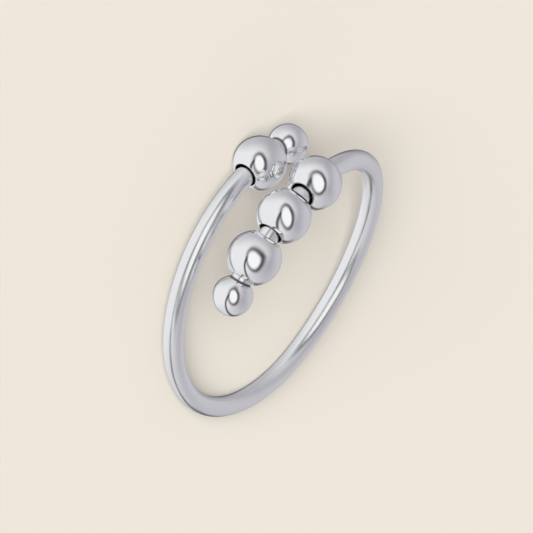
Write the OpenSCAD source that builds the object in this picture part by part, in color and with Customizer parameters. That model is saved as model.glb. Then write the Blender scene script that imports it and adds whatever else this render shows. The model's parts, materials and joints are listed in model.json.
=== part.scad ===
// Open spinner ring lying on its side: a wire shank whose two arms pass each other at the front,
// with a ball soldered to each end and loose beads that glide along the arms.
// Angles along an arm are counted from the back of the shank, which is at +Y.
// The lower arm turns from there towards +X, and the upper arm towards -X and upwards.

/* [Shank] */
// Diameter of the finger that fits inside the shank
finger_d = 16.9; // [15:0.1:21]
// Thickness of the round wire
wire_d = 1.3; // [1:0.05:1.6]
// Angle from the back of the shank to the ball at the end of each arm
arm_turn = 216; // [206:1:220]
// Diameter of the ball soldered to each end
end_ball_d = 2.55; // [2.2:0.05:3]
// Gap between two beads that pass each other on the two arms
pass_gap = 0.41; // [0.35:0.05:1]

/* [Beads] */
// Diameter of each loose bead
bead_d = 3.4; // [2.8:0.1:4]
// Gap all round between the wire and the tightest place in a bead's hole
running_gap = 0.05; // [0.03:0.01:0.12]
// Width of the broken edge round each end of the hole
rim_w = 0.07; // [0.03:0.01:0.15]

/* [Places along the arms] */
// Gap between the single bead and the end ball of its arm
lone_gap = 0.17; // [0.03:0.01:3]
// Gap between the end ball, the outer bead and the middle bead of the other arm
row_gap = 0.03; // [0.02:0.01:0.3]
// Gap between the middle bead and the inner bead
open_gap = 0.1; // [0.02:0.01:3]
// Angle from the back to the place where the lower arm touches what the ring lies on
touch_turn = 42; // [30:1:60]

/* [Hidden] */

silver = "#D5D5D8";
wire_facets = 48;
round_facets = 180;

// Radius of the wire's centre line, the same for both arms
shank_r = (finger_d + wire_d) / 2;
// The arms' planes open by this angle, hinged on the shank's tangent at the back
arm_bank = asin((bead_d + pass_gap) / (2 * shank_r));

// The hole is straight and the wire in it is curved, so the hole is wider by the wire's rise in it
wire_rise = pow(bead_d / 2, 2) / (2 * shank_r);
hole_d = wire_d + wire_rise + 2 * running_gap;
rim_r = hole_d / 2 + rim_w;
// The bead's centre lies inside the centre line by half of that rise
seat_r = shank_r - wire_rise / 2;

// Angle that half a ball or bead takes up on an arm, out to where its neighbour touches its rim
function half_turn(d) = atan(sqrt(pow(d / 2, 2) - pow(rim_r, 2)) / (seat_r - rim_r));
// Angle between two neighbours with a gap between them
function step(d1, d2, gap) = half_turn(d1) + half_turn(d2) + gap / shank_r * 180 / PI;

lone_turn = arm_turn - step(end_ball_d, bead_d, lone_gap);
outer_turn = arm_turn - step(end_ball_d, bead_d, row_gap);
middle_turn = outer_turn - step(bead_d, bead_d, row_gap);
inner_turn = middle_turn - step(bead_d, bead_d, open_gap);

// The ring leans on its lower arm's bead or ball at the front and on the wire at touch_turn
function lean_on(d, r, turn) = asin((d - wire_d) / 2 / (shank_r - r * cos(turn - touch_turn)));
lean = max(lean_on(bead_d, seat_r, lone_turn), lean_on(end_ball_d, shank_r, arm_turn));

// From the lower arm's own plane to the way the ring lies, with the surface at z = 0
module lying() {
    translate([0, 0, shank_r * sin(lean) + wire_d / 2])
        rotate(a = lean, v = [-cos(touch_turn), sin(touch_turn), 0])
            children();
}

module lower_arm() {
    mirror([1, 0, 0]) children();
}

module upper_arm() {
    translate([0, shank_r, 0])
        rotate([-arm_bank, 0, 0])
            translate([0, -shank_r, 0])
                children();
}

// Puts a thing that is drawn along z at an angle and a radius on an arm, in line with the wire
module along_arm(turn, r) {
    rotate([0, 0, 90 + turn])
        translate([r, 0, 0])
            rotate([90, 0, 0])
                children();
}

module arm_wire() {
    rotate([0, 0, 90])
        rotate_extrude(angle = arm_turn, $fn = round_facets)
            translate([shank_r, 0])
                circle(d = wire_d, $fn = wire_facets);
}

module arm() {
    arm_wire();
    along_arm(arm_turn, shank_r)
        sphere(d = end_ball_d, $fn = round_facets);
}

module band() {
    color(silver)
        lying() {
            lower_arm() arm();
            upper_arm() arm();
        }
}

// Drilled ball with a straight hole and a broken edge at each end of it
module bead() {
    mouth_z = sqrt(pow(bead_d / 2, 2) - pow(rim_r, 2));
    difference() {
        sphere(d = bead_d, $fn = round_facets);
        cylinder(d = hole_d, h = 2 * bead_d, center = true, $fn = wire_facets);
        for (side = [0, 180])
            rotate([side, 0, 0])
                translate([0, 0, mouth_z - rim_w])
                    cylinder(r1 = rim_r - rim_w, r2 = rim_r + bead_d, h = rim_w + bead_d, $fn = wire_facets);
    }
}

module lone_bead() {
    color(silver)
        lying() lower_arm() along_arm(lone_turn, seat_r) bead();
}

module row_bead(turn) {
    color(silver)
        lying() upper_arm() along_arm(turn, seat_r) bead();
}

band();
lone_bead();
row_bead(inner_turn);  // inner_bead
row_bead(middle_turn);  // middle_bead
row_bead(outer_turn);  // outer_bead
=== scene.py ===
import json
import math

import bpy
from mathutils import Matrix, Vector


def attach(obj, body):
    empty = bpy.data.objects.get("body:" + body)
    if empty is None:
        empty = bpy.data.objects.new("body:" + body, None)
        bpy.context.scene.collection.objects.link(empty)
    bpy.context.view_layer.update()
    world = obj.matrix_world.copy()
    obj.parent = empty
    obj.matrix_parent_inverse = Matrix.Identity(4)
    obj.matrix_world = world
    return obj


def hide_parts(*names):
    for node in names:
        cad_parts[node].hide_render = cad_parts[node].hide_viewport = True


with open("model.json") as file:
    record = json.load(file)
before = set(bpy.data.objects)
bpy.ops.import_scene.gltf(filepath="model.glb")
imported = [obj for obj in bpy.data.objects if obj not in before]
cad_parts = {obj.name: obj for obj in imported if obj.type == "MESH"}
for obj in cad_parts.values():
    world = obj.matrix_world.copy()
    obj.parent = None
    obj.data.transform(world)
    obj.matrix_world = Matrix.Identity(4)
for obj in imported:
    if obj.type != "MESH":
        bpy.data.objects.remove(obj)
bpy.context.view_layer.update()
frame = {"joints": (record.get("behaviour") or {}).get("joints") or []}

# The band: one round wire of sterling silver, drawn, bent round a mandrel into two equal arms that
# pass each other at the front, with a cast ball soldered to each end. The solder is filed and
# polished away to a small fillet, so wire and balls have one skin.
MM = 0.001
WIRE_WIDTH = 1.3 * MM
SHANK_RADIUS = 9.1 * MM
ARM_TURN = math.radians(216.0)
END_BALL_WIDTH = 2.55 * MM
SOLDER_FILLET = 0.12 * MM

# How finely the skin is divided: round the wire, along its bend, up to the ball and over the
# ball. Points of a skin nearer to each other than the last are made one.
WIRE_FACETS = 80
BEND_STEP = math.radians(1.25)
APPROACH_STEP = 0.04 * MM
APPROACH_STEPS = 20
BALL_STEPS = 44
SAME_POINT = 0.0005 * MM

# Back from the ball's centre, the wire is straight up to the first and fully bent from the second
STRAIGHT_UP_TO = 0.8 * MM
BENT_FROM = 1.9 * MM

glides = {joint["name"]: joint for joint in frame["joints"]}
lower_centre = Vector(glides["lone_bead_glide"]["pos_m"])
lower_axis = Vector(glides["lone_bead_glide"]["axis"]).normalized()
upper_centre = Vector(glides["outer_bead_glide"]["pos_m"])
upper_axis = -Vector(glides["outer_bead_glide"]["axis"]).normalized()
across_back = lower_axis.cross(upper_axis).normalized()


def on_arm(arm, turn, radius=SHANK_RADIUS):
    """A point on an arm and the wire's direction there, by the angle from the back of the shank."""
    centre, axis, sense = {
        "lower": (lower_centre, lower_axis, -1.0),
        "upper": (upper_centre, upper_axis, 1.0),
    }[arm]
    to_back = across_back.cross(axis)
    point = centre + radius * (to_back * math.cos(turn) + across_back * sense * math.sin(turn))
    direction = across_back * sense * math.cos(turn) - to_back * math.sin(turn)
    return point, direction


def arm_path(arm):
    """The wire's centre line from the back of the shank to the tip of the end ball."""
    ball_centre, ball_direction = on_arm(arm, ARM_TURN)
    ball_radius = END_BALL_WIDTH / 2
    bend_turn = ARM_TURN - BENT_FROM / SHANK_RADIUS
    steps = round(bend_turn / BEND_STEP)
    points = [on_arm(arm, bend_turn * step / steps)[0] for step in range(steps)]
    # The wire runs into the ball in a straight line, so that the ball is round about it
    approach = [-BENT_FROM + APPROACH_STEP * step for step in range(APPROACH_STEPS)]
    first_angle = math.asin(approach[-1] / ball_radius)
    angle_step = (math.pi / 2 - first_angle) / BALL_STEPS
    through_ball = [
        ball_radius * math.sin(first_angle + angle_step * (step + 1)) for step in range(BALL_STEPS)
    ]
    for distance in approach + through_ball:
        bent = on_arm(arm, ARM_TURN + distance / SHANK_RADIUS)[0]
        straight = ball_centre + ball_direction * distance
        share = (-distance - STRAIGHT_UP_TO) / (BENT_FROM - STRAIGHT_UP_TO)
        share = min(max(share, 0.0), 1.0)
        share = share * share * (3.0 - 2.0 * share)
        points.append(straight.lerp(bent, share))
    return points


def new_object(name, mesh):
    piece = bpy.data.objects.new(name, mesh)
    bpy.context.scene.collection.objects.link(piece)
    return piece


def add_node(tree, kind, settings=None, *in_order, out=None, **by_name):
    """Adds a node with its settings and sockets, and gives its first output or the one asked for.

    The settings are a dictionary, or just the name of the operation. The sockets come in order or
    by name, and each takes a plain value or another node's output."""
    node = tree.nodes.new(kind)
    if isinstance(settings, str):
        settings = {"operation": settings}
    for setting, value in (settings or {}).items():
        setattr(node, setting, value)
    sockets = list(zip(node.inputs, in_order))
    for key, value in by_name.items():
        name = key.replace("_", " ")
        sockets.append((next(s for s in node.inputs if s.name == name and s.enabled), value))
    for socket, value in sockets:
        if isinstance(value, bpy.types.NodeSocket):
            tree.links.new(value, socket)
        else:
            socket.default_value = value
    return node.outputs[out] if out else next((s for s in node.outputs if s.enabled), None)


def new_tree(name, inputs):
    """A Geometry Nodes tree with its named inputs, a geometry output and its input node."""
    tree = bpy.data.node_groups.new(name, "GeometryNodeTree")
    tree.interface.new_socket("Geometry", in_out="INPUT", socket_type="NodeSocketGeometry")
    for socket, kind in inputs.items():
        tree.interface.new_socket(socket, in_out="INPUT", socket_type="NodeSocket" + kind)
    tree.interface.new_socket("Geometry", in_out="OUTPUT", socket_type="NodeSocketGeometry")
    return tree, tree.nodes.new("NodeGroupInput").outputs


def finish_skin(tree, skin, silver):
    """Ends a tree: the skin is shaded smooth, made plain and given its silver."""
    skin = add_node(tree, "GeometryNodeSetShadeSmooth", Geometry=skin)
    skin = add_node(tree, "GeometryNodeRealizeInstances", Geometry=skin)
    skin = add_node(tree, "GeometryNodeSetMaterial", Geometry=skin, Material=silver)
    add_node(tree, "NodeGroupOutput", Geometry=skin)


def shape_with(tree, name, base, **values):
    """The plain mesh that a tree makes from a base mesh and its named inputs."""
    source = new_object(name, base)
    modifier = source.modifiers.new("shape", "NODES")
    modifier.node_group = tree
    for item in tree.interface.items_tree:
        key = item.name.replace(" ", "_")
        if item.in_out == "INPUT" and key in values:
            modifier[item.identifier] = values[key]
    depsgraph = bpy.context.evaluated_depsgraph_get()
    mesh = bpy.data.meshes.new_from_object(source.evaluated_get(depsgraph))
    mesh.name = name
    source.modifiers.clear()
    source.data = mesh
    bpy.data.meshes.remove(base)
    return source


def linear(hex_colour):
    """An sRGB hex colour as linear red, green, blue and alpha."""
    shares = [int(hex_colour[at : at + 2], 16) / 255 for at in (1, 3, 5)]
    return [s / 12.92 if s <= 0.04045 else ((s + 0.055) / 1.055) ** 2.4 for s in shares] + [1.0]


# Sterling silver: a cool white metal that a buffing wheel brings to a mirror. The mirror clouds
# over in patches, which are a little paler and softer.
CLEAR_SILVER = "#EDEEEF"
CLOUDED_SILVER = "#F3F3F4"
# The dark colour painted into holes and crevices as shade
PAINTED_SHADE_COLOUR = "#2C2B2E"
CLOUD_SIZE = 0.9 * MM
CLEAR_BELOW = 0.3
CLOUDED_ABOVE = 0.75
CLEAR_ROUGHNESS = 0.045
CLOUDED_ROUGHNESS = 0.085
SATIN_ROUGHNESS = 0.16
HAIRLINE_DEPTH = 0.006 * MM
HAIRLINE_SHARE_ON_MIRROR = 0.1
HAIRLINE_STRETCH = 30.0
# How strong the painted shade is at its darkest
PAINTED_SHADE_SHARE = 0.9


def along_the_wire(tree):
    """Places on the wire's skin in metres, with the wire's length drawn shorter.

    Hairlines at these places come out long, as a draw plate and a buffing wheel leave them."""
    around = add_node(tree, "ShaderNodeAttribute", {"attribute_name": "around"}, out="Vector")
    along = add_node(tree, "ShaderNodeAttribute", {"attribute_name": "along"}, out="Fac")
    shortened = add_node(tree, "ShaderNodeMath", "DIVIDE", along, HAIRLINE_STRETCH)
    length = add_node(tree, "ShaderNodeCombineXYZ", Z=shortened)
    skin_size = (WIRE_WIDTH / 2, WIRE_WIDTH / 2, 0.0)
    return add_node(tree, "ShaderNodeVectorMath", "MULTIPLY_ADD", around, skin_size, length)


def polished_silver(name, hairline_width, wave_width, wave_depth, hairlines_at=None):
    """Buffed sterling silver: a mirror with faint hairlines, and satin where its mesh says so.

    The hairlines are drawn three times as wide as real ones, which are too fine to show. The waves
    are what bending or casting leaves in the surface, and make reflections run a little uneven.
    Painted shade darkens the colour in holes and crevices, where the mesh says so."""
    material = bpy.data.materials.new(name)
    material.use_nodes = True
    tree = material.node_tree
    tree.nodes.clear()
    place = add_node(tree, "ShaderNodeTexCoord", out="Object")
    satin = add_node(tree, "ShaderNodeAttribute", {"attribute_name": "satin"}, out="Fac")
    painted_shade = add_node(tree, "ShaderNodeAttribute", {"attribute_name": "painted_shade"}, out="Fac")
    clouds = add_node(
        tree,
        "ShaderNodeTexNoise",
        Vector=place,
        Scale=1.0 / CLOUD_SIZE,
        Detail=3.0,
        Roughness=0.55,
    )
    tone = add_node(
        tree,
        "ShaderNodeMix",
        {"data_type": "RGBA"},
        Factor=clouds,
        A=linear(CLEAR_SILVER),
        B=linear(CLOUDED_SILVER),
    )
    # Painted shade: the colour goes dark where the mesh marks a hole or a crevice
    tone = add_node(
        tree,
        "ShaderNodeMix",
        {"data_type": "RGBA"},
        Factor=painted_shade,
        A=tone,
        B=linear(PAINTED_SHADE_COLOUR),
    )
    mirror = add_node(
        tree,
        "ShaderNodeMapRange",
        Value=clouds,
        From_Min=CLEAR_BELOW,
        From_Max=CLOUDED_ABOVE,
        To_Min=CLEAR_ROUGHNESS,
        To_Max=CLOUDED_ROUGHNESS,
    )
    rough = add_node(tree, "ShaderNodeMath", "MULTIPLY_ADD", satin, SATIN_ROUGHNESS, mirror)
    waves = add_node(
        tree, "ShaderNodeTexNoise", Vector=place, Scale=1.0 / wave_width, Detail=0.0
    )
    wavy = add_node(tree, "ShaderNodeBump", Strength=1.0, Distance=wave_depth, Height=waves)
    hairlines = add_node(
        tree,
        "ShaderNodeTexNoise",
        Vector=hairlines_at(tree) if hairlines_at else place,
        Scale=1.0 / hairline_width,
        Detail=2.0,
    )
    hairline_strength = add_node(
        tree, "ShaderNodeMapRange", Value=satin, To_Min=HAIRLINE_SHARE_ON_MIRROR, To_Max=1.0
    )
    lined = add_node(
        tree,
        "ShaderNodeBump",
        Strength=hairline_strength,
        Distance=HAIRLINE_DEPTH,
        Height=hairlines,
        Normal=wavy,
    )
    shader = add_node(
        tree,
        "ShaderNodeBsdfPrincipled",
        Base_Color=tone,
        Metallic=1.0,
        Roughness=rough,
        Normal=lined,
    )
    add_node(tree, "ShaderNodeOutputMaterial", Surface=shader)
    return material


# Hand polish gives the wire a satin gleam with fine lines along it, and its end balls a mirror
wire_silver = polished_silver(
    "polished_silver_wire",
    hairline_width=0.1 * MM,
    wave_width=3.0 * MM,
    wave_depth=0.05 * MM,
    hairlines_at=along_the_wire,
)

band_tree, given = new_tree(
    "soldered wire band",
    {
        "Wire radius": "Float",
        "Ball radius": "Float",
        "Solder fillet": "Float",
        "Neck from tip": "Float",
        "Facets round": "Int",
        "Silver": "Material",
    },
)
path = add_node(band_tree, "GeometryNodeMeshToCurve", Mesh=given["Geometry"])
run = add_node(band_tree, "GeometryNodeSplineParameter", out="Length")
whole = add_node(band_tree, "GeometryNodeSplineLength")
to_other_tip = add_node(band_tree, "ShaderNodeMath", "SUBTRACT", whole, run)
from_tip = add_node(band_tree, "ShaderNodeMath", "MINIMUM", run, to_other_tip)

# The half width is the ball's up to its centre, and past it the larger of the ball's and the wire's
before_centre = add_node(band_tree, "ShaderNodeMath", "SUBTRACT", given["Ball radius"], from_tip)
ball_square = add_node(band_tree, "ShaderNodeMath", "POWER", given["Ball radius"], 2.0)
centre_square = add_node(band_tree, "ShaderNodeMath", "MULTIPLY", before_centre, before_centre)
section_square = add_node(band_tree, "ShaderNodeMath", "SUBTRACT", ball_square, centre_square)
section_square = add_node(band_tree, "ShaderNodeMath", "MAXIMUM", section_square, 0.0)
ball_section = add_node(band_tree, "ShaderNodeMath", "SQRT", section_square)
filleted = add_node(
    band_tree,
    "ShaderNodeMath",
    "SMOOTH_MAX",
    given["Wire radius"],
    ball_section,
    given["Solder fillet"],
)
half_width = add_node(
    band_tree,
    "ShaderNodeMix",
    {"data_type": "FLOAT"},
    Factor=add_node(band_tree, "ShaderNodeMath", "GREATER_THAN", before_centre, 0.0),
    A=filleted,
    B=ball_section,
)

# A thin line of painted shade darkens the crevice where the wire goes into the ball, and the satin
# of the wire ends there
CREVICE_REACH = 0.09 * MM
CREVICE_CORE = 0.02 * MM
off_neck = add_node(band_tree, "ShaderNodeMath", "SUBTRACT", from_tip, given["Neck from tip"])
painted_crevice_shade = add_node(
    band_tree,
    "ShaderNodeMapRange",
    {"interpolation_type": "SMOOTHSTEP"},
    Value=add_node(band_tree, "ShaderNodeMath", "ABSOLUTE", off_neck),
    From_Min=CREVICE_REACH,
    From_Max=CREVICE_CORE,
    To_Min=0.0,
    To_Max=PAINTED_SHADE_SHARE,
)
on_wire = add_node(band_tree, "ShaderNodeMath", "GREATER_THAN", off_neck, 0.0)

# The skin carries these for its silver to read, with its place round the wire
for name, value in (("along", run), ("painted_shade", painted_crevice_shade), ("satin", on_wire)):
    path = add_node(
        band_tree,
        "GeometryNodeStoreNamedAttribute",
        {"data_type": "FLOAT", "domain": "POINT"},
        Geometry=path,
        Name=name,
        Value=value,
    )
round_section = add_node(
    band_tree, "GeometryNodeCurvePrimitiveCircle", Resolution=given["Facets round"], Radius=1.0
)
round_section = add_node(
    band_tree,
    "GeometryNodeStoreNamedAttribute",
    {"data_type": "FLOAT_VECTOR", "domain": "POINT"},
    Geometry=round_section,
    Name="around",
    Value=add_node(band_tree, "GeometryNodeInputPosition"),
)
skin = add_node(
    band_tree,
    "GeometryNodeCurveToMesh",
    Curve=path,
    Profile_Curve=round_section,
    Scale=half_width,
)
skin = add_node(band_tree, "GeometryNodeMergeByDistance", Geometry=skin, Distance=SAME_POINT)
finish_skin(band_tree, skin, given["Silver"])

wire_points = arm_path("lower")[::-1] + arm_path("upper")[1:]
wire_line = bpy.data.meshes.new("wire line")
wire_line.from_pydata(wire_points, [(at, at + 1) for at in range(len(wire_points) - 1)], [])
neck_from_centre = math.sqrt((END_BALL_WIDTH / 2) ** 2 - (WIRE_WIDTH / 2) ** 2)
band = shape_with(
    band_tree,
    "silver_band",
    wire_line,
    Wire_radius=WIRE_WIDTH / 2,
    Ball_radius=END_BALL_WIDTH / 2,
    Solder_fillet=SOLDER_FILLET,
    Neck_from_tip=END_BALL_WIDTH / 2 + neck_from_centre,
    Facets_round=WIRE_FACETS,
    Silver=wire_silver,
)
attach(band, "ring")
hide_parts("band")

# The loose beads: four solid balls of the same silver, cast, drilled through and tumbled, so the
# edge of each hole is rounded. They are threaded on the wire before its second ball is soldered.
BEAD_WIDTH = 3.4 * MM
RUNNING_GAP = 0.05 * MM
RIM_ROUNDING = 0.07 * MM
LONE_TO_BALL_GAP = 0.17 * MM
ROW_GAP = 0.03 * MM
INNER_TO_MIDDLE_GAP = 0.1 * MM

# How finely a bead is divided: round its hole, and along the half section that is turned
BEAD_FACETS = 144
OUTSIDE_POINTS = 97
ROUNDING_POINTS = 13
BORE_POINTS = 9

# The hole is straight and the wire in it is curved, so it is wider by the wire's rise in it
wire_rise = (BEAD_WIDTH / 2) ** 2 / (2 * SHANK_RADIUS)
hole_width = WIRE_WIDTH + wire_rise + 2 * RUNNING_GAP
rim_radius = hole_width / 2 + RIM_ROUNDING
seat_radius = SHANK_RADIUS - wire_rise / 2


def half_turn(width):
    """The angle that half a ball takes up on an arm, out to where its neighbour touches its rim."""
    return math.atan(math.sqrt((width / 2) ** 2 - rim_radius**2) / (seat_radius - rim_radius))


def step_turn(width, next_width, gap):
    """The angle on an arm between the centres of two neighbours."""
    return half_turn(width) + half_turn(next_width) + gap / SHANK_RADIUS


lone_turn = ARM_TURN - step_turn(END_BALL_WIDTH, BEAD_WIDTH, LONE_TO_BALL_GAP)
outer_turn = ARM_TURN - step_turn(END_BALL_WIDTH, BEAD_WIDTH, ROW_GAP)
middle_turn = outer_turn - step_turn(BEAD_WIDTH, BEAD_WIDTH, ROW_GAP)
inner_turn = middle_turn - step_turn(BEAD_WIDTH, BEAD_WIDTH, INNER_TO_MIDDLE_GAP)

# A tumbler makes a cast bead a mirror all over, not quite even, with hairlines that run any way
bead_silver = polished_silver(
    "tumbled_silver_bead", hairline_width=0.09 * MM, wave_width=2.6 * MM, wave_depth=0.4 * MM
)

bead_tree, given = new_tree(
    "drilled bead",
    {
        "Bead radius": "Float",
        "Hole radius": "Float",
        "Rim rounding": "Float",
        "Facets round": "Int",
        "Place": "Vector",
        "Wire direction": "Vector",
        "Silver": "Material",
    },
)
bead_radius = given["Bead radius"]
hole_radius = given["Hole radius"]
rounding = given["Rim rounding"]

# The half section lies in x and y, with x measured outwards from a circle of the bead's radius.
# The rim is where the rounding of the hole's edge meets the outside of the ball.
rim_x = add_node(bead_tree, "ShaderNodeMath", "ADD", hole_radius, rounding)
rim_reach = add_node(bead_tree, "ShaderNodeMath", "SUBTRACT", bead_radius, rounding)
rim_y = add_node(
    bead_tree,
    "ShaderNodeMath",
    "SUBTRACT",
    add_node(bead_tree, "ShaderNodeMath", "MULTIPLY", rim_reach, rim_reach),
    add_node(bead_tree, "ShaderNodeMath", "MULTIPLY", rim_x, rim_x),
)
rim_y = add_node(bead_tree, "ShaderNodeMath", "SQRT", rim_y)
foot_y = add_node(bead_tree, "ShaderNodeMath", "MULTIPLY", rim_y, -1.0)
rim_angle = add_node(bead_tree, "ShaderNodeMath", "ARCTAN2", rim_y, rim_x)
foot_angle = add_node(bead_tree, "ShaderNodeMath", "MULTIPLY", rim_angle, -1.0)
outside_sweep = add_node(bead_tree, "ShaderNodeMath", "MULTIPLY", rim_angle, 2.0)
rim_sweep = add_node(bead_tree, "ShaderNodeMath", "SUBTRACT", math.pi, rim_angle)


def section_arc(radius, start, sweep, points, centre_x, centre_y):
    """An arc of the half section, by its centre's distance from the bead's axis and its height."""
    arc = add_node(
        bead_tree,
        "GeometryNodeCurveArc",
        Radius=radius,
        Start_Angle=start,
        Sweep_Angle=sweep,
        Resolution=points,
    )
    outwards = add_node(bead_tree, "ShaderNodeMath", "SUBTRACT", centre_x, bead_radius)
    centre = add_node(bead_tree, "ShaderNodeCombineXYZ", X=outwards, Y=centre_y)
    return add_node(bead_tree, "GeometryNodeTransform", Geometry=arc, Translation=centre)


outside = section_arc(bead_radius, foot_angle, outside_sweep, OUTSIDE_POINTS, 0.0, 0.0)
rim_top = section_arc(rounding, rim_angle, rim_sweep, ROUNDING_POINTS, rim_x, rim_y)
rim_foot = section_arc(rounding, math.pi, rim_sweep, ROUNDING_POINTS, rim_x, foot_y)
bore_x = add_node(bead_tree, "ShaderNodeMath", "SUBTRACT", hole_radius, bead_radius)
bore = add_node(
    bead_tree,
    "GeometryNodeCurvePrimitiveLine",
    Start=add_node(bead_tree, "ShaderNodeCombineXYZ", X=bore_x, Y=rim_y),
    End=add_node(bead_tree, "ShaderNodeCombineXYZ", X=bore_x, Y=foot_y),
)
bore = add_node(bead_tree, "GeometryNodeResampleCurve", Curve=bore, Count=BORE_POINTS)
half_section = add_node(bead_tree, "GeometryNodeJoinGeometry")
for curve in (bore, rim_foot, outside, rim_top):
    bead_tree.links.new(curve, half_section.node.inputs["Geometry"])
turned_path = add_node(
    bead_tree,
    "GeometryNodeCurvePrimitiveCircle",
    Resolution=given["Facets round"],
    Radius=bead_radius,
)
turned = add_node(
    bead_tree, "GeometryNodeCurveToMesh", Curve=turned_path, Profile_Curve=half_section
)
turned = add_node(bead_tree, "GeometryNodeMergeByDistance", Geometry=turned, Distance=SAME_POINT)

# Painted shade fills the hole and reaches a quarter of the way out over its rounded edge
PAINTED_SHADE_ROUNDING = 0.25
off_axis = add_node(
    bead_tree,
    "ShaderNodeVectorMath",
    "MULTIPLY",
    add_node(bead_tree, "GeometryNodeInputPosition"),
    (1.0, 1.0, 0.0),
)
painted_hole_shade = add_node(
    bead_tree,
    "ShaderNodeMapRange",
    {"interpolation_type": "SMOOTHSTEP"},
    Value=add_node(bead_tree, "ShaderNodeVectorMath", "LENGTH", off_axis, out="Value"),
    From_Min=add_node(
        bead_tree, "ShaderNodeMath", "MULTIPLY_ADD", rounding, PAINTED_SHADE_ROUNDING, hole_radius
    ),
    From_Max=hole_radius,
    To_Min=0.0,
    To_Max=PAINTED_SHADE_SHARE,
)
turned = add_node(
    bead_tree,
    "GeometryNodeStoreNamedAttribute",
    {"data_type": "FLOAT", "domain": "POINT"},
    Geometry=turned,
    Name="painted_shade",
    Value=painted_hole_shade,
)
along_wire = add_node(
    bead_tree, "FunctionNodeAlignRotationToVector", {"axis": "Z"}, Vector=given["Wire direction"]
)
threaded = add_node(
    bead_tree,
    "GeometryNodeTransform",
    Geometry=turned,
    Translation=given["Place"],
    Rotation=along_wire,
)
finish_skin(bead_tree, threaded, given["Silver"])

for bead_name, body, arm, turn in (
    ("lone_bead", "lone", "lower", lone_turn),
    ("outer_bead", "outer", "upper", outer_turn),
    ("middle_bead", "middle", "upper", middle_turn),
    ("inner_bead", "inner", "upper", inner_turn),
):
    place, direction = on_arm(arm, turn, seat_radius)
    bead = shape_with(
        bead_tree,
        "silver_" + bead_name,
        bpy.data.meshes.new("blank"),
        Bead_radius=BEAD_WIDTH / 2,
        Hole_radius=hole_width / 2,
        Rim_rounding=RIM_ROUNDING,
        Facets_round=BEAD_FACETS,
        Place=place,
        Wire_direction=direction,
        Silver=bead_silver,
    )
    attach(bead, body)
    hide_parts(bead_name)

# The camera looks down on the ring from in front of it and a little to the right, through a long
# lens, and is turned well past its side, as the ring in the picture leans.
CAMERA_SIDE = math.radians(-64.63)
CAMERA_RISE = math.radians(30.54)
CAMERA_ROLL = math.radians(112.5)
CAMERA_DISTANCE = 398.84 * MM
CAMERA_AIM = Vector((-0.376, -0.213, 1.148)) * MM
SENSOR_WIDTH_MM = 36.0
LENS_MM = 429.57
NEAREST_SEEN = 10.0 * MM
FARTHEST_SEEN = 20.0


def direction_at(side, rise):
    """The direction towards something, by its angle round the ring and above the floor."""
    level = Vector((math.cos(side), math.sin(side), 0.0))
    return level * math.cos(rise) + Vector((0.0, 0.0, math.sin(rise)))


scene = bpy.context.scene
to_camera = direction_at(CAMERA_SIDE, CAMERA_RISE)
level_right = Vector((0.0, 0.0, 1.0)).cross(to_camera).normalized()
upright = to_camera.cross(level_right)
camera_up = upright * math.cos(CAMERA_ROLL) - level_right * math.sin(CAMERA_ROLL)
camera_right = level_right * math.cos(CAMERA_ROLL) + upright * math.sin(CAMERA_ROLL)
camera = bpy.data.objects.new("camera", bpy.data.cameras.new("camera"))
scene.collection.objects.link(camera)
camera.data.sensor_width = SENSOR_WIDTH_MM
camera.data.lens = LENS_MM
camera.data.clip_start = NEAREST_SEEN
camera.data.clip_end = FARTHEST_SEEN
turned_to = Matrix((camera_right, camera_up, to_camera)).transposed().to_4x4()
camera.matrix_world = Matrix.Translation(CAMERA_AIM + to_camera * CAMERA_DISTANCE) @ turned_to
scene.camera = camera

# The floor: a wide round sheet of warm matt paper. The silver sees the studio below it instead, as
# a ring does that stands clear of the paper.
FLOOR_RADIUS = 3.0
FLOOR_SIDES = 96
PAPER = "#DED7CA"

corner_turns = [math.tau * side / FLOOR_SIDES for side in range(FLOOR_SIDES)]
corners = [
    (FLOOR_RADIUS * math.cos(turn), FLOOR_RADIUS * math.sin(turn), 0.0) for turn in corner_turns
]
floor_mesh = bpy.data.meshes.new("paper_floor")
floor_mesh.from_pydata(corners, [], [list(range(FLOOR_SIDES))])
floor = new_object("paper_floor", floor_mesh)
paper = bpy.data.materials.new("warm_matt_paper")
paper.use_nodes = True
paper.node_tree.nodes.clear()
matt = add_node(paper.node_tree, "ShaderNodeBsdfDiffuse", Color=linear(PAPER))
add_node(paper.node_tree, "ShaderNodeOutputMaterial", Surface=matt)
floor_mesh.materials.append(paper)
floor.visible_glossy = False

# The light: pale studio walls round the ring, with an oval window of light at the camera, and a
# broad soft key light. Each patch of the walls has its place on a mirror ball as the camera of
# this scene sees it: x to the right, y up, and 1 at the ball's edge.
PALE_WALL = "#F0F0F1"
BACKDROP = "#EEE6DB"
WALL_STRENGTH = 1.05
BACKDROP_STRENGTH = 1.0
KEY_SIDE = math.radians(-60.0)
KEY_RISE = math.radians(24.0)
KEY_SPREAD = math.radians(40.0)
KEY_POWER = 4.75

world = bpy.data.worlds.new("studio")
scene.world = world
world.use_nodes = True
studio = world.node_tree
studio.nodes.clear()

# A mirror ball shows a direction where its surface faces halfway between it and the camera
toward = add_node(studio, "ShaderNodeTexCoord", out="Generated")
facing = add_node(studio, "ShaderNodeVectorMath", "ADD", toward, to_camera)
facing = add_node(studio, "ShaderNodeVectorMath", "NORMALIZE", facing)
ball_x = add_node(studio, "ShaderNodeVectorMath", "DOT_PRODUCT", facing, camera_right, out="Value")
ball_y = add_node(studio, "ShaderNodeVectorMath", "DOT_PRODUCT", facing, camera_up, out="Value")
on_ball = add_node(studio, "ShaderNodeCombineXYZ", X=ball_x, Y=ball_y)


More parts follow.
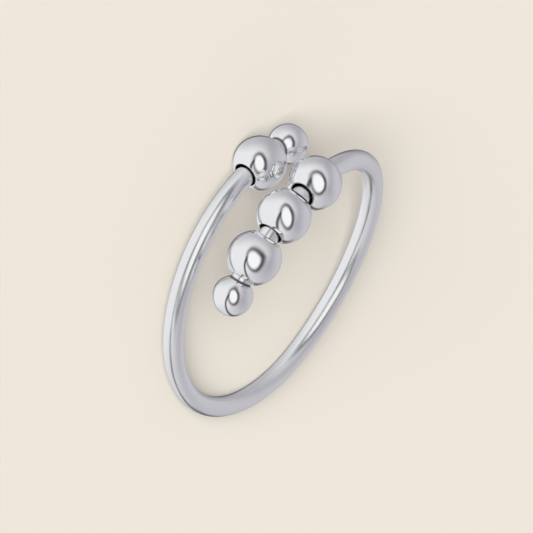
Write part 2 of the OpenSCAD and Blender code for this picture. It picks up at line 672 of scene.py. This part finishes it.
def out_of_oval(centre=(0.0, 0.0), half_size=(1.0, 1.0)):
    """How far out a place is from an oval's centre, with 1 on the oval."""
    off = add_node(studio, "ShaderNodeVectorMath", "SUBTRACT", on_ball, (*centre, 0.0))
    off = add_node(studio, "ShaderNodeVectorMath", "DIVIDE", off, (*half_size, 1.0))
    return add_node(studio, "ShaderNodeVectorMath", "LENGTH", off, out="Value")


def off_line(out, line):
    """How far a place is from the line round an oval, inwards or outwards."""
    off = add_node(studio, "ShaderNodeMath", "SUBTRACT", out, line)
    return add_node(studio, "ShaderNodeMath", "ABSOLUTE", off)


def hang(walls, colour, share, *edges):
    """The walls with a soft patch of another colour over them, at most as strong as its share.

    Each edge has a measure, its values where the patch ends and where it is full, and what is left
    of the patch past its end."""
    for measure, ends_at, full_at, left in edges:
        strength = add_node(
            studio,
            "ShaderNodeMapRange",
            {"interpolation_type": "SMOOTHSTEP"},
            Value=measure,
            From_Min=ends_at,
            From_Max=full_at,
            To_Min=left,
            To_Max=1.0,
        )
        share = add_node(studio, "ShaderNodeMath", "MULTIPLY", strength, share)
    return add_node(
        studio, "ShaderNodeMix", {"data_type": "RGBA"}, Factor=share, A=walls, B=linear(colour)
    )


out_of_ball = out_of_oval()
out_of_glow = out_of_oval(centre=(0.0, 0.2), half_size=(0.6, 0.6))
out_of_gap = out_of_oval(centre=(0.1, -0.4), half_size=(0.43, 0.57))
out_of_surround = out_of_oval(centre=(0.04, -0.03), half_size=(0.29, 0.44))
out_of_window = out_of_oval(centre=(0.04, -0.03), half_size=(0.19, 0.32))

# The walls are greyer to the right but for its far end, greyer above than below, and bright
# round the middle
walls = hang(linear(PALE_WALL), "#B2B1B7", 1.0, (ball_x, -0.35, 0.5, 0.0))
walls = hang(walls, "#D0CFD4", 0.7, (ball_x, 0.5, 0.85, 0.0))
walls = hang(walls, "#ACABB0", 0.7, (ball_y, 0.35, 0.9, 0.0))
walls = hang(walls, "#CCCBD0", 0.55, (ball_y, -0.3, -0.8, 0.0))
walls = hang(walls, "#F3F3F5", 0.6, (out_of_glow, 1.05, 0.35, 0.0))

# A long dark gap between two walls makes the thin dark line on the wire and the beads
walls = hang(
    walls, "#1E1E22", 0.85, (off_line(out_of_gap, 1.0), 0.16, 0.04, 0.0), (ball_x, 0.45, 0.05, 0.0)
)

# What lies behind the ring is darker, most of all up on the left, and outlines what is round
walls = hang(
    walls,
    "#3A3A3F",
    0.8,
    (out_of_ball, 0.93, 0.975, 0.0),
    (ball_x, 0.6, 0.0, 0.45),
    (ball_y, -0.1, 0.5, 0.3125),
)

# The window of light has a soft edge with a dark line on it, and a grey surround
walls = hang(walls, "#36363B", 0.8, (out_of_surround, 1.25, 0.85, 0.0), (ball_x, -0.2, 0.3, 0.5))
walls = hang(walls, "#FFFFFF", 1.0, (out_of_window, 1.2, 0.72, 0.0))
walls = hang(walls, "#1E1E22", 0.4, (off_line(out_of_window, 1.2), 0.26, 0.06, 0.0))

# The camera itself sees a plain backdrop past the edge of the paper
lighting = add_node(studio, "ShaderNodeBackground", Color=walls, Strength=WALL_STRENGTH)
backdrop = add_node(
    studio, "ShaderNodeBackground", Color=linear(BACKDROP), Strength=BACKDROP_STRENGTH
)
seen = add_node(studio, "ShaderNodeLightPath", out="Is Camera Ray")
both = add_node(studio, "ShaderNodeMixShader", None, seen, lighting, backdrop)
add_node(studio, "ShaderNodeOutputWorld", Surface=both)

key = bpy.data.objects.new("key_light", bpy.data.lights.new("key_light", "SUN"))
scene.collection.objects.link(key)
key.data.angle = KEY_SPREAD
key.data.energy = KEY_POWER
key.rotation_mode = "QUATERNION"
key.rotation_quaternion = direction_at(KEY_SIDE, KEY_RISE).to_track_quat("Z", "Y")
key.visible_glossy = False

scene.view_settings.view_transform = "Standard"
